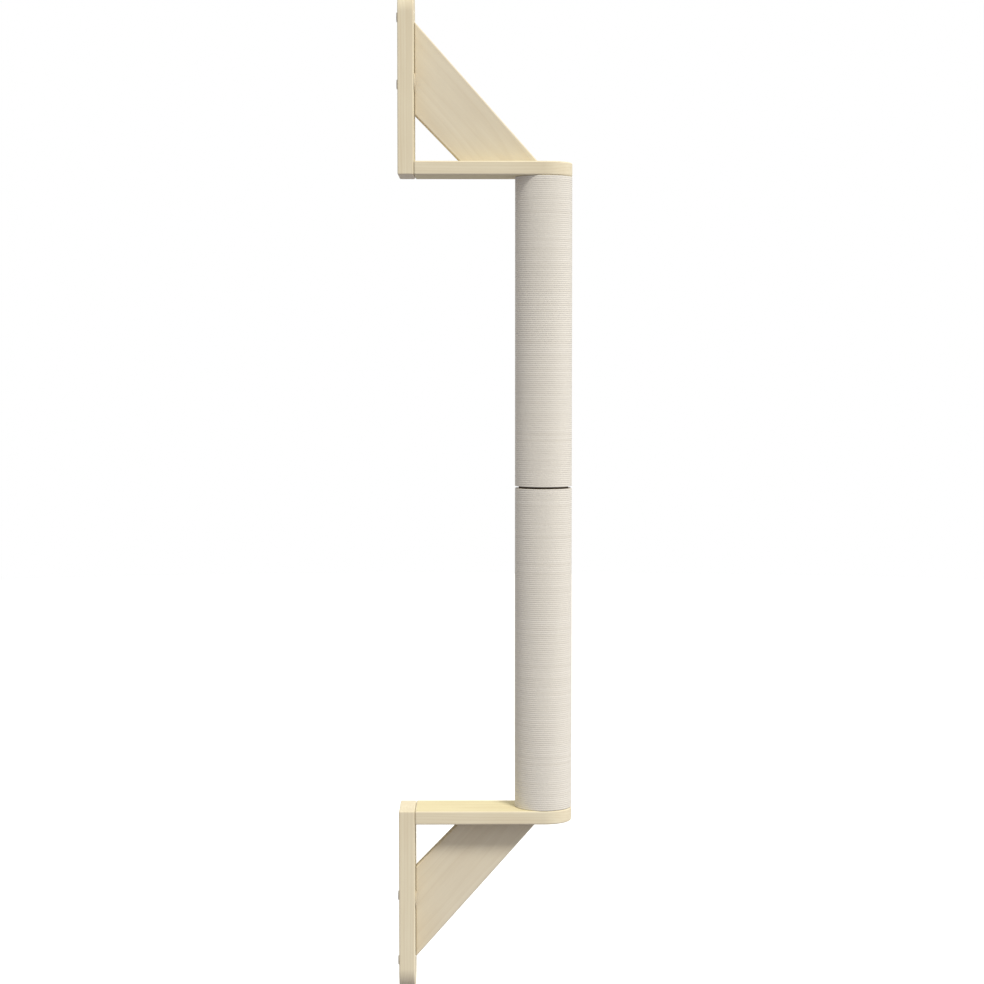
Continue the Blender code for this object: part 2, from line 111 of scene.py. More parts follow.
class Wiring:
    """Adds nodes to one node tree and links them."""

    def __init__(self, tree: NodeTree) -> None:
        """Work on this tree."""
        self.tree = tree

    def feed(self, socket: Socket, value: Feed) -> None:
        """Link a socket to an input, or set the input's value.

        Args:
            socket: the input.
            value: the socket or value that it gets.
        """
        if isinstance(value, Socket):
            self.tree.links.new(value, socket)
        else:
            socket.default_value = value

    def add(self, kind: str, feeds: dict[str | int, Feed], **settings: object) -> bpy.types.Node:
        """Add a node.

        Args:
            kind: the node's type, without its ShaderNode prefix.
            feeds: values or sockets, by the input's name or number.
            settings: the node's own properties.

        Returns:
            The node.
        """
        node = self.tree.nodes.new(f"ShaderNode{kind}")
        for name, setting in settings.items():
            setattr(node, name, setting)
        for name, value in feeds.items():
            self.feed(node.inputs[name], value)
        return node

    def math(self, operation: str, *values: Feed) -> Socket:
        """The result of a Math node."""
        return self.add("Math", dict(enumerate(values)), operation=operation).outputs[0]

    def total(self, *values: Feed) -> Socket:
        """The sum of some numbers, added in their order."""
        return reduce(partial(self.math, "ADD"), values)

    def product(self, *values: Feed) -> Socket:
        """The product of some numbers, multiplied in their order."""
        return reduce(partial(self.math, "MULTIPLY"), values)

    def centred(self, value: Feed, amount: Feed) -> Socket:
        """A value from 0 to 1 moved to lie about zero, times an amount."""
        return self.product(self.math("SUBTRACT", value, 0.5), amount)

    def vector(self, operation: str, *values: Feed) -> Socket:
        """The vector that a Vector Math node gives."""
        return self.add("VectorMath", dict(enumerate(values)), operation=operation).outputs[0]

    def measure(self, operation: str, *values: Feed) -> Socket:
        """The number that a Vector Math node gives, such as a length or a dot product."""
        return self.add("VectorMath", dict(enumerate(values)), operation=operation).outputs["Value"]

    def scaled(self, vector: Feed, factor: Feed) -> Socket:
        """A vector or colour times a number."""
        return self.add("VectorMath", {0: vector, "Scale": factor}, operation="SCALE").outputs[0]

    def shaded(self, colour: Feed, change: Feed) -> Socket:
        """A colour made brighter or darker by a share of itself."""
        return self.scaled(colour, self.total(1.0, change))

    def noise(self, place: Feed, per_metre: Sequence[float], detail: float = 2.0) -> Socket:
        """Noise from 0 to 1 with its own frequency along each axis."""
        stretched = self.vector("MULTIPLY", place, per_metre)
        return self.add("TexNoise", {"Vector": stretched, "Scale": 1.0, "Detail": detail}).outputs["Fac"]

    def noise_along(self, distance: Feed, per_metre: float, detail: float = 2.0) -> Socket:
        """Noise from 0 to 1 that changes along one distance only."""
        feeds = {"W": self.product(distance, per_metre), "Scale": 1.0, "Detail": detail}
        return self.add("TexNoise", feeds, noise_dimensions="1D").outputs["Fac"]

    def step(self, value: Feed, low: float, high: float) -> Socket:
        """A smooth step from 0 at low to 1 at high."""
        feeds = {"Value": value, "From Min": low, "From Max": high}
        return self.add("MapRange", feeds, interpolation_type="SMOOTHSTEP").outputs["Result"]

    def blend(self, share: Feed, first: Feed, second: Feed) -> Socket:
        """A mix of two colours."""
        feeds = {0: share, 6: first, 7: second}
        return self.add("Mix", feeds, data_type="RGBA", clamp_factor=True).outputs[2]

    def group(self, tree: NodeTree, feeds: dict[str, Feed]) -> Outputs:
        """The outputs of a shader group that is fed with its own values."""
        return self.add("Group", feeds, node_tree=tree).outputs


def opaque(colour: Colour) -> tuple[float, float, float, float]:
    """A colour with full alpha."""
    return (*colour, 1.0)


FLOAT = "NodeSocketFloat"
VECTOR = "NodeSocketVector"
COLOUR = "NodeSocketColor"
SURFACE_OUTPUTS = {"Color": COLOUR, "Roughness": FLOAT, "Height": FLOAT}


def open_group(name: str, inputs: dict[str, str], outputs: dict[str, str]) -> tuple[Wiring, Outputs]:
    """Start a shader group.

    Args:
        name: the group's name.
        inputs: the type of each input, by name.
        outputs: the type of each output, by name.

    Returns:
        The wiring of its tree, and what it is given.
    """
    tree = bpy.data.node_groups.new(name, "ShaderNodeTree")
    for side, sockets in (("INPUT", inputs), ("OUTPUT", outputs)):
        for label, kind in sockets.items():
            tree.interface.new_socket(label, in_out=side, socket_type=kind)
    return Wiring(tree), tree.nodes.new("NodeGroupInput").outputs


def close_group(w: Wiring, results: dict[str, Feed]) -> NodeTree:
    """Link a group's results to its outputs.

    Args:
        w: the wiring of its tree.
        results: a value or socket for each output, by name.

    Returns:
        The group.
    """
    end = w.tree.nodes.new("NodeGroupOutput")
    for label, value in results.items():
        w.feed(end.inputs[label], value)
    return w.tree


def wood_figure() -> NodeTree:
    """Growth rings about a pith line, streaks and fibres. Its vector's X runs along the grain.

    Returns:
        The group.
    """
    sway_per_metre = (3.0, 14.0, 14.0)
    streaks_per_metre = (6.0, 190.0, 190.0)
    clouds_per_metre = (9.0, 28.0, 28.0)
    fibres_per_metre = (55.0, 1600.0, 1600.0)
    widths_per_metre, width_change = 90.0, 1.8
    late_power, late_end = 2.2, 0.88
    streak_amount, cloud_amount, least_late = 1.4, 0.9, 0.25
    fibre_shade, fibre_gloss = 0.08, 0.18
    ring_relief, fibre_relief = 0.3, 0.7
    inputs = {
        "Vector": VECTOR,
        "Early Wood": COLOUR,
        "Late Wood": COLOUR,
        "Ring Spacing": FLOAT,
        "Waviness": FLOAT,
        "Figure": FLOAT,
    }
    w, given = open_group("wood_figure", inputs, SURFACE_OUTPUTS)
    place = given["Vector"]
    slow = w.vector("MULTIPLY", place, sway_per_metre)
    drift = w.add("TexNoise", {"Vector": slow, "Scale": 1.0, "Detail": 2.0}).outputs["Color"]
    sway = w.scaled(w.vector("SUBTRACT", drift, (0.5, 0.5, 0.5)), given["Waviness"])
    swayed = w.vector("ADD", place, sway)
    radius = w.measure("LENGTH", w.vector("MULTIPLY", swayed, (0.0, 1.0, 1.0)))
    widths = w.centred(w.noise_along(radius, widths_per_metre, detail=1.0), width_change)
    phase = w.math("FRACT", w.total(w.math("DIVIDE", radius, given["Ring Spacing"]), widths))
    before_end = w.math("SUBTRACT", 1.0, w.step(phase, late_end, 1.0))
    late = w.product(w.math("POWER", phase, late_power), before_end)
    streaks = w.noise(swayed, streaks_per_metre, detail=3.0)
    streaks = w.centred(streaks, w.product(given["Figure"], streak_amount))
    clouds = w.centred(w.noise(place, clouds_per_metre), cloud_amount)
    fibres = w.noise(place, fibres_per_metre)
    share = w.total(w.product(late, given["Figure"]), streaks, clouds, least_late)
    colour = w.blend(share, given["Early Wood"], given["Late Wood"])
    colour = w.shaded(colour, w.centred(fibres, fibre_shade))
    height = w.total(w.product(late, ring_relief), w.product(fibres, fibre_relief))
    return close_group(w, {"Color": colour, "Roughness": w.centred(fibres, fibre_gloss), "Height": height})


def worn_edge() -> NodeTree:
    """Painted light on boards: faces tinted apart from sides, and glossier edges with painted highlights.

    Returns:
        The group.
    """
    face_from, face_full = 0.8, 0.995
    edge_from, edge_full = 0.05, 0.4
    edge_gloss = -1.2
    inputs = {"Color": COLOUR, "Face Tint": COLOUR, "Normal": VECTOR, "Axis": VECTOR, "Rub": FLOAT}
    w, given = open_group("worn_edge", inputs, {"Color": COLOUR, "Roughness": FLOAT})
    lean = w.math("ABSOLUTE", w.measure("DOT_PRODUCT", given["Normal"], given["Axis"]))
    face = w.step(lean, face_from, face_full)
    edge = w.product(w.step(lean, edge_from, edge_full), w.math("SUBTRACT", 1.0, face))
    # Painted highlight: the rounded edges are painted lighter, and made glossier.
    painted_highlight = w.product(edge, given["Rub"])
    # Painted light: the broad faces take a tint that stands in for warm light falling on them.
    painted_lit_face = w.vector("MULTIPLY", given["Color"], given["Face Tint"])
    colour = w.shaded(w.blend(face, given["Color"], painted_lit_face), painted_highlight)
    return close_group(w, {"Color": colour, "Roughness": w.product(painted_highlight, edge_gloss)})


def fine_speckle() -> NodeTree:
    """The fine even grain of moulded, cast or plated surfaces, with slow blotches.

    Returns:
        The group.
    """
    blotches_per_metre = (70.0, 70.0, 70.0)
    inputs = {"Vector": VECTOR, "Color": COLOUR, "Grain Size": FLOAT, "Variation": FLOAT}
    w, given = open_group("fine_speckle", inputs, SURFACE_OUTPUTS)
    per_metre = w.math("DIVIDE", 1.0, given["Grain Size"])
    grain = w.add("TexNoise", {"Vector": given["Vector"], "Scale": per_metre, "Detail": 2.0}).outputs["Fac"]
    blotches = w.math("SUBTRACT", w.noise(given["Vector"], blotches_per_metre), 0.5)
    change = w.centred(w.total(grain, blotches), given["Variation"])
    return close_group(w, {"Color": w.shaded(given["Color"], change), "Roughness": change, "Height": grain})


def rope_lay() -> NodeTree:
    """The twisted strands of a rope. Its vector's X is metres along the rope, its Y turns round it.

    Returns:
        The group.
    """
    strands, strand_power, painted_groove_shade = 3.0, 0.6, 0.06
    hairs_along, hairs_round = 90.0, 4.0
    batches_per_metre = 2.5
    hair_amount, batch_amount, deep_share = 0.6, 0.5, 0.4
    strand_relief, hair_relief, hair_gloss = 0.75, 0.25, 0.12
    inputs = {"Vector": VECTOR, "Pale Fibre": COLOUR, "Deep Fibre": COLOUR, "Lay Length": FLOAT}
    w, given = open_group("rope_lay", inputs, SURFACE_OUTPUTS)
    parts = w.add("SeparateXYZ", {0: given["Vector"]}).outputs
    twist = w.total(w.math("DIVIDE", parts["X"], given["Lay Length"]), parts["Y"])
    phase = w.math("FRACT", w.product(twist, strands))
    strand = w.math("POWER", w.math("SINE", w.product(phase, math.pi)), strand_power)
    angle = w.product(twist, FULL_TURN)
    feeds = {
        0: w.product(parts["X"], hairs_along),
        1: w.product(w.math("COSINE", angle), hairs_round),
        2: w.product(w.math("SINE", angle), hairs_round),
    }
    along = w.add("CombineXYZ", feeds).outputs[0]
    hairs = w.add("TexNoise", {"Vector": along, "Scale": 1.0, "Detail": 3.0}).outputs["Fac"]
    batches = w.centred(w.noise_along(parts["X"], batches_per_metre, detail=4.0), batch_amount)
    share = w.total(w.centred(hairs, hair_amount), batches, deep_share)
    colour = w.blend(share, given["Pale Fibre"], given["Deep Fibre"])
    # Painted shade: the colour darkens towards the grooves between the strands.
    colour = w.scaled(colour, w.total(1 - painted_groove_shade, w.product(strand, painted_groove_shade)))
    height = w.total(w.product(strand, strand_relief), w.product(hairs, hair_relief))
    return close_group(w, {"Color": colour, "Roughness": w.centred(hairs, hair_gloss), "Height": height})


@dataclass
class SharedGroups:
    """The shader groups that the finishes use, each built once."""

    wood: NodeTree = field(default_factory=wood_figure)
    # Paints light on boards' broad faces and highlights on their rounded edges.
    edge: NodeTree = field(default_factory=worn_edge)
    speckle: NodeTree = field(default_factory=fine_speckle)
    rope: NodeTree = field(default_factory=rope_lay)


@dataclass(frozen=True)
class Grain:
    """How a board lay in the log.

    turn is the grain's angle about +Y from +X, pith is a point on the log's centre line, and
    thickness is the axis through the board.
    """

    turn: float
    pith: Vector
    thickness: Vector


@dataclass(frozen=True, kw_only=True)
class Finish(ABC):
    """What every finish sets on its materials. relief is the depth of its pattern in metres."""

    name: str
    roughness: float
    relief: float
    specular: float = 0.5
    metallic: float = 0.0

    @abstractmethod
    def pattern(self, w: Wiring, groups: SharedGroups) -> tuple[Feed, ...]:
        """The pattern's colour, its height from 0 to 1, and what it adds to the roughness."""

    def material(self, groups: SharedGroups, *labels: str) -> Material:
        """The finish as a material.

        Args:
            groups: the shared shader groups.
            labels: what its name says before the finish's name.

        Returns:
            The material.
        """
        material = bpy.data.materials.new("_".join([*labels, self.name]))
        material.use_nodes = True
        w = Wiring(material.node_tree)
        colour, height, *gloss = self.pattern(w, groups)
        bump = w.add("Bump", {"Distance": self.relief, "Height": height})
        feeds = {
            "Base Color": colour,
            "Roughness": w.total(self.roughness, *gloss),
            "Metallic": self.metallic,
            "Specular IOR Level": self.specular,
            "Normal": bump.outputs["Normal"],
        }
        shader = w.tree.nodes["Principled BSDF"]
        for name, value in feeds.items():
            w.feed(shader.inputs[name], value)
        return material


@dataclass(frozen=True, kw_only=True)
class WoodFinish(Finish):
    """A wood with its rings, fibres and matt surface, and how its grain lies in one board."""

    early: Colour
    late: Colour
    ring_spacing: float
    figure: float
    waviness: float = 0.012
    # Painted highlight: how much lighter the rounded edges are painted; they are also made glossier.
    edge_highlight: float = 0.05
    # Painted light: a tint on the broad faces, standing in for warm light falling on them.
    painted_face_light: Colour = (1.0, 1.0, 1.0)
    roughness: float = 0.7
    relief: float = 0.00003
    specular: float = 0.03
    grain: Grain = Grain(0.0, Vector(), Z_AXIS)

    def pattern(self, w: Wiring, groups: SharedGroups) -> tuple[Feed, ...]:
        """Growth rings and fibres, with painted light on the faces and painted highlights on the edges.

        Args:
            w: the material's wiring.
            groups: the shared shader groups.

        Returns:
            The colour, the height and two changes of the roughness.
        """
        grain = self.grain
        board = w.add("TexCoord", {}).outputs
        feeds = {"Vector": board["Object"], "Location": grain.pith, "Rotation": (0.0, grain.turn, 0.0)}
        feeds = {
            "Vector": w.add("Mapping", feeds, vector_type="TEXTURE").outputs[0],
            "Early Wood": opaque(self.early),
            "Late Wood": opaque(self.late),
            "Ring Spacing": self.ring_spacing,
            "Waviness": self.waviness,
            "Figure": self.figure,
        }
        wood = w.group(groups.wood, feeds)
        feeds = {
            "Color": wood["Color"],
            "Face Tint": opaque(self.painted_face_light),
            "Normal": board["Normal"],
            "Axis": grain.thickness,
            "Rub": self.edge_highlight,
        }
        edge = w.group(groups.edge, feeds)
        return edge["Color"], wood["Height"], wood["Roughness"], edge["Roughness"]


@dataclass(frozen=True, kw_only=True)
class SpeckledFinish(Finish):
    """A plain surface with a fine even grain: plated steel, moulded plastic or rubber."""

    colour: Colour
    grain_size: float = 0.0004
    variation: float = 0.1
    relief: float = 0.00001

    def ground(self, w: Wiring, place: Feed) -> tuple[Feed, ...]:
        """What lies under the speckle: its colour, and then its height if it has one."""
        return (opaque(self.colour),)

    def pattern(self, w: Wiring, groups: SharedGroups) -> tuple[Feed, ...]:
        """The speckle over what lies under it.

        Args:
            w: the material's wiring.
            groups: the shared shader groups.

        Returns:
            The colour, the height and the change of the roughness.
        """
        place = w.add("TexCoord", {}).outputs["Object"]
        colour, *heights = self.ground(w, place)
        feeds = {
            "Vector": place,
            "Color": colour,
            "Grain Size": self.grain_size,
            "Variation": self.variation,
        }
        speckle = w.group(groups.speckle, feeds)
        heights.insert(0, speckle["Height"])
        height = w.product(w.total(*heights), 1 / len(heights))
        return speckle["Color"], height, speckle["Roughness"]


@dataclass(frozen=True, kw_only=True)
class PlyFinish(SpeckledFinish):
    """Plywood cut across: thin layers of wood whose grain turns from one to the next."""

    cross_colour: Colour
    ply: float
    waver: float = 0.3
    grain_size: float = 0.0008
    variation: float = 0.16
    roughness: float = 0.7
    relief: float = 0.00004

    def ground(self, w: Wiring, place: Feed) -> tuple[Feed, ...]:
        """The layers, stacked along +Z.

        Args:
            w: the material's wiring.
            place: Object coordinates.

        Returns:
            Their colour.
        """
        waver_per_metre = (60.0, 60.0, 5.0)
        cross_from, cross_full = 0.22, 0.28
        upward = w.add("SeparateXYZ", {0: place}).outputs["Z"]
        waver = w.centred(w.noise(place, waver_per_metre), self.waver)
        layer = w.total(w.math("DIVIDE", upward, 2 * self.ply), waver)
        cross = w.step(w.math("PINGPONG", layer, 0.5), cross_from, cross_full)
        return (w.blend(cross, opaque(self.colour), opaque(self.cross_colour)),)


@dataclass(frozen=True, kw_only=True)
class CardFinish(SpeckledFinish):
    """Spiral-wound board: a narrow seam that climbs round an upright tube."""

    seam_climb: float
    seam_width: float = 0.012
    seam_shade: float = 0.3
    axis_x: float = 0.0
    grain_size: float = 0.0006
    variation: float = 0.2
    roughness: float = 0.85
    relief: float = 0.00005

    def ground(self, w: Wiring, place: Feed) -> tuple[Feed, ...]:
        """The wound board.

        Args:
            w: the material's wiring.
            place: Object coordinates.

        Returns:
            Its colour, darker along the seam, and its height, lower there.
        """
        parts = w.add("SeparateXYZ", {0: place}).outputs
        angle = w.math("ARCTAN2", parts["Y"], w.math("SUBTRACT", parts["X"], self.axis_x))
        turn = w.total(w.math("DIVIDE", angle, FULL_TURN), w.math("DIVIDE", parts["Z"], self.seam_climb))
        board = w.step(w.math("PINGPONG", turn, 0.5), 0.0, self.seam_width)
        shade = w.total(1 - self.seam_shade, w.product(board, self.seam_shade))
        return w.scaled(self.colour, shade), board


@dataclass(frozen=True, kw_only=True)
class RopeFinish(Finish):
    """Fine twisted rope of plant fibre, which reads the winding's own UV map."""

    pale: Colour
    deep: Colour
    lay_length: float
    uv_map: str = "rope_run"
    roughness: float = 0.85
    relief: float = 0.00004
    specular: float = 0.05

    def pattern(self, w: Wiring, groups: SharedGroups) -> tuple[Feed, ...]:
        """The twisted strands along the winding.

        Args:
            w: the material's wiring.
            groups: the shared shader groups.

        Returns:
            The colour, the height and the change of the roughness.
        """
        feeds = {
            "Vector": w.add("UVMap", {}, uv_map=self.uv_map).outputs["UV"],
            "Pale Fibre": opaque(self.pale),
            "Deep Fibre": opaque(self.deep),
            "Lay Length": self.lay_length,
        }
        lay = w.group(groups.rope, feeds)
        return lay["Color"], lay["Height"], lay["Roughness"]


PINE = WoodFinish(
    name="pine", early=(0.735, 0.665, 0.495), late=(0.635, 0.545, 0.383), ring_spacing=0.0042, figure=0.55,
)
# Painted light: the shelf's top and underside are tinted more yellow than its sides, standing in for warm
# light on its top.
SHELF_PINE = replace(PINE, painted_face_light=(0.965, 0.955, 0.82))
BRACE_PINE = replace(PINE, early=(0.692, 0.626, 0.485), late=(0.597, 0.513, 0.375), figure=0.35)
# Painted shade: the covers' colours are about a tenth darker than their wood, standing in for the shade
# beside the brace.
SHADED_COVER_WOOD = WoodFinish(
    name="cover_wood", early=(0.65, 0.575, 0.425), late=(0.565, 0.47, 0.32), ring_spacing=0.003,
    figure=0.5, edge_highlight=0.0,
)
BEECH = WoodFinish(
    name="beech", early=(0.70, 0.54, 0.35), late=(0.58, 0.42, 0.26), ring_spacing=0.0022, figure=0.6,
    roughness=0.62, edge_highlight=0.0,
)
PLYWOOD = PlyFinish(
    name="plywood", colour=(0.66, 0.54, 0.37), cross_colour=(0.50, 0.39, 0.25), ply=0.0013,
)
CARDBOARD = CardFinish(name="cardboard", colour=(0.45, 0.33, 0.21), seam_climb=0.11)
ZINC = SpeckledFinish(
    name="zinc_steel", colour=(0.62, 0.63, 0.65), roughness=0.3, metallic=1.0, variation=0.12,
)
DARK_PLASTIC = SpeckledFinish(
    name="dark_plastic", colour=(0.12, 0.095, 0.065), roughness=0.8, variation=0.2, specular=0.1,
)
RUBBER = SpeckledFinish(
    name="rubber", colour=(0.48, 0.44, 0.385), roughness=0.75, variation=0.16, relief=0.00003,
)
SISAL = RopeFinish(
    name="sisal", pale=(0.777, 0.743, 0.673), deep=(0.584, 0.540, 0.462), lay_length=0.0075,
)


def choose(piece: Piece) -> None:
    """Select nothing but one piece, and make it the active one.

    Args:
        piece: the piece.
    """
    bpy.ops.object.select_all(action="DESELECT")
    piece.select_set(True)
    bpy.context.view_layer.objects.active = piece


def settle(piece: Piece) -> None:
    """Move a piece's place, turn and scale into its mesh."""
    choose(piece)
    bpy.ops.object.transform_apply(location=True, rotation=True, scale=True)


def primitive(name: str, add: Callable[..., set[str]], **settings: object) -> Piece:
    """Add a primitive, with its place, turn and scale in its mesh.

    Args:
        name: its name.
        add: the operator that adds it.
        settings: the operator's properties.

    Returns:
        The primitive.
    """
    bpy.ops.object.select_all(action="DESELECT")
    add(**settings)
    piece = bpy.context.object
    piece.name = name
    piece.data.name = name
    settle(piece)
    return piece


@contextmanager
def editing(piece: Piece) -> Iterator[Mesh]:
    """Edit mode on one piece, picking vertices and with nothing of it selected at first.

    Args:
        piece: the piece to edit.

    Yields:
        Its mesh.
    """
    choose(piece)
    bpy.ops.object.mode_set(mode="EDIT")
    bpy.ops.mesh.select_mode(type="VERT")
    bpy.ops.mesh.select_all(action="DESELECT")
    yield piece.data
    bpy.ops.object.mode_set(mode="OBJECT")


def select_edges(mesh: Mesh, wanted: EdgeTest) -> None:
    """Select the edges whose two ends pass a test.

    Args:
        mesh: the mesh being edited.
        wanted: the test.
    """
    bpy.ops.mesh.select_mode(type="EDGE")
    work = bmesh.from_edit_mesh(mesh)
    for edge in work.edges:
        edge.select_set(wanted(edge.verts[0].co, edge.verts[1].co))
    bmesh.update_edit_mesh(mesh)


def close_up() -> None:
    """Merge what lies together in the mesh being edited, and turn its faces outwards."""
    bpy.ops.mesh.select_all(action="SELECT")
    bpy.ops.mesh.remove_doubles(threshold=MERGE_DISTANCE)
    bpy.ops.mesh.dissolve_degenerate(threshold=MERGE_DISTANCE)
    bpy.ops.mesh.normals_make_consistent(inside=False)


def apply_modifier(piece: Piece, kind: str, **settings: object) -> None:
    """Add a modifier and apply it.

    Args:
        piece: the piece that gets it.
        kind: the modifier's type.
        settings: the modifier's own properties.
    """
    choose(piece)
    modifier = piece.modifiers.new(kind.lower(), kind)
    for name, setting in settings.items():
        setattr(modifier, name, setting)
    bpy.ops.object.modifier_apply(modifier=modifier.name)


def smooth(piece: Piece) -> None:
    """Shade a piece smooth between its sharp edges, with its large faces kept flat.

    Args:
        piece: the piece.
    """
    choose(piece)
    bpy.ops.object.shade_smooth_by_angle(angle=SHARP_ANGLE)
    apply_modifier(piece, "WEIGHTED_NORMAL", keep_sharp=True)


def arc(centre: tuple[float, float], radius: float, start: float, end: float, steps: int) -> Profile:
    """Profile points on an arc between two angles in degrees, both ends included."""
    angles = [math.radians(start + (end - start) * i / steps) for i in range(steps + 1)]
    return [(centre[0] + radius * math.cos(a), centre[1] + radius * math.sin(a)) for a in angles]


def turned(name: str, profile: Profile, base: Vector, axis: Vector, steps: int = ROUND_STEPS) -> Piece:
    """A turned shape.

    Args:
        name: the piece's name.
        profile: radius and height pairs, from the base along the axis. It starts and ends on the axis,
            or ends where it started for a ring.
        base: the point on the axis at height zero.
        axis: the axis's direction.
        steps: facets round the axis.

    Returns:
        The piece, with its faces outwards.

    Raises:
        ValueError: the profile gave no faces.
    """
    across = axis.orthogonal().normalized()
    points = [base + across * radius + axis * height for radius, height in profile]
    piece = primitive(name, bpy.ops.mesh.primitive_plane_add, size=NEAR, location=points[0])
    with editing(piece):
        bpy.ops.mesh.select_all(action="SELECT")
        bpy.ops.mesh.merge(type="CENTER")
        for start, end in pairwise(points):
            bpy.ops.mesh.extrude_vertices_move(TRANSFORM_OT_translate={"value": end - start})
        bpy.ops.mesh.select_all(action="SELECT")
        bpy.ops.mesh.spin(steps=steps, angle=FULL_TURN, center=base, axis=axis)
        close_up()
    if not piece.data.polygons:
        raise ValueError(f"{name} has no faces")
    return piece


def cut(piece: Piece, cutter: Piece) -> None:
    """Take a cutter's volume out of a piece, and delete the cutter."""
    apply_modifier(piece, "BOOLEAN", operation="DIFFERENCE", solver="EXACT", object=cutter)
    bpy.data.objects.remove(cutter, do_unlink=True)


def fit(piece: Piece, slot: str, material: Material, *nodes: str) -> None:
    """Dress a finished piece, and put it in the place of the nodes that it stands for.

    Args:
        piece: the finished piece.
        slot: not used.
        material: its finish.
        nodes: the nodes that it stands for.
    """
    piece.data.materials.clear()
    piece.data.materials.append(material)
    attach(piece, BODY)
    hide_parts(*nodes)
    LOG.info("%s: %d faces, in place of %s", piece.name, len(piece.data.polygons), ", ".join(nodes))


def dress(node: str, material: Material) -> None:
    """Give a node that stays in view its finish.

    Args:
        node: the node's name.
        material: its finish.
    """
    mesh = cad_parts[node].data
    mesh.materials.clear()
    mesh.materials.append(material)
    LOG.info("%s: dressed in %s", node, material.name)


@dataclass
class Board:
    """A board of solid wood, cut from a block of its box's size."""

    name: str
    low: Vector
    high: Vector
    edge_radius: float = 0.002
    edge_segments: int = 5
    round_segments: int = 48
    piece: Piece = field(init=False)

    def __post_init__(self) -> None:
        """Saw the block."""
        self.piece = primitive(
            self.name, bpy.ops.mesh.primitive_cube_add,
            size=1, location=(self.low + self.high) / 2, scale=self.high - self.low,
        )

    def round_end(self, lengthwise: int, end: float, through: int) -> None:
        """Round one end to a half circle.

        Args:
            lengthwise: the axis along the board, 0 to 2.
            end: where the rounded end lies on it.
            through: the axis through the board's thickness.
        """
        half_width = (self.high.y - self.low.y) / 2

        def at_corner(first: Vector, second: Vector) -> bool:
            """Whether an edge runs through the thickness at the end."""
            at_end = abs(first[lengthwise] - end) < NEAR and abs(second[lengthwise] - end) < NEAR
            return at_end and abs(first[through] - second[through]) > NEAR

        with editing(self.piece) as mesh:
            select_edges(mesh, at_corner)
            bpy.ops.mesh.bevel(offset=half_width, segments=self.round_segments, clamp_overlap=False)
            close_up()

    def saw_off(self, point: Vector, away: Vector) -> None:
        """Saw off what lies beyond a plane.

        Args:
            point: a point on the plane.
            away: the plane's normal, towards what goes.
        """
        with editing(self.piece):
            bpy.ops.mesh.select_all(action="SELECT")
            bpy.ops.mesh.bisect(
                plane_co=point, plane_no=away, use_fill=True, clear_outer=True, threshold=MERGE_DISTANCE
            )
            close_up()

    def round_edges(self) -> None:
        """Round over all the long edges."""
        with editing(self.piece):
            bpy.ops.mesh.select_mode(type="EDGE")
            bpy.ops.mesh.edges_select_sharp(sharpness=SHARP_ANGLE)
            bpy.ops.mesh.bevel(offset=self.edge_radius, segments=self.edge_segments, profile=0.5)
            close_up()

    def peg_hole(self, dowel: str) -> None:
        """Drill the hole that a dowel of the model sits in.

        Args:
            dowel: the dowel's node.
        """
        low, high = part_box(dowel)
        size = high - low
        axis = max((X_AXIS, Y_AXIS, Z_AXIS), key=size.dot)
        length = size.dot(axis) + 2 * CLEARANCE
        radius = size.y / 2 + CLEARANCE
        profile = [(0, length), (radius, length), (radius, 0), (0, 0)]
        base = (low + high - axis * length) / 2
        cut(self.piece, turned(f"{dowel}_hole", profile, base, axis, PEG_HOLE_STEPS))


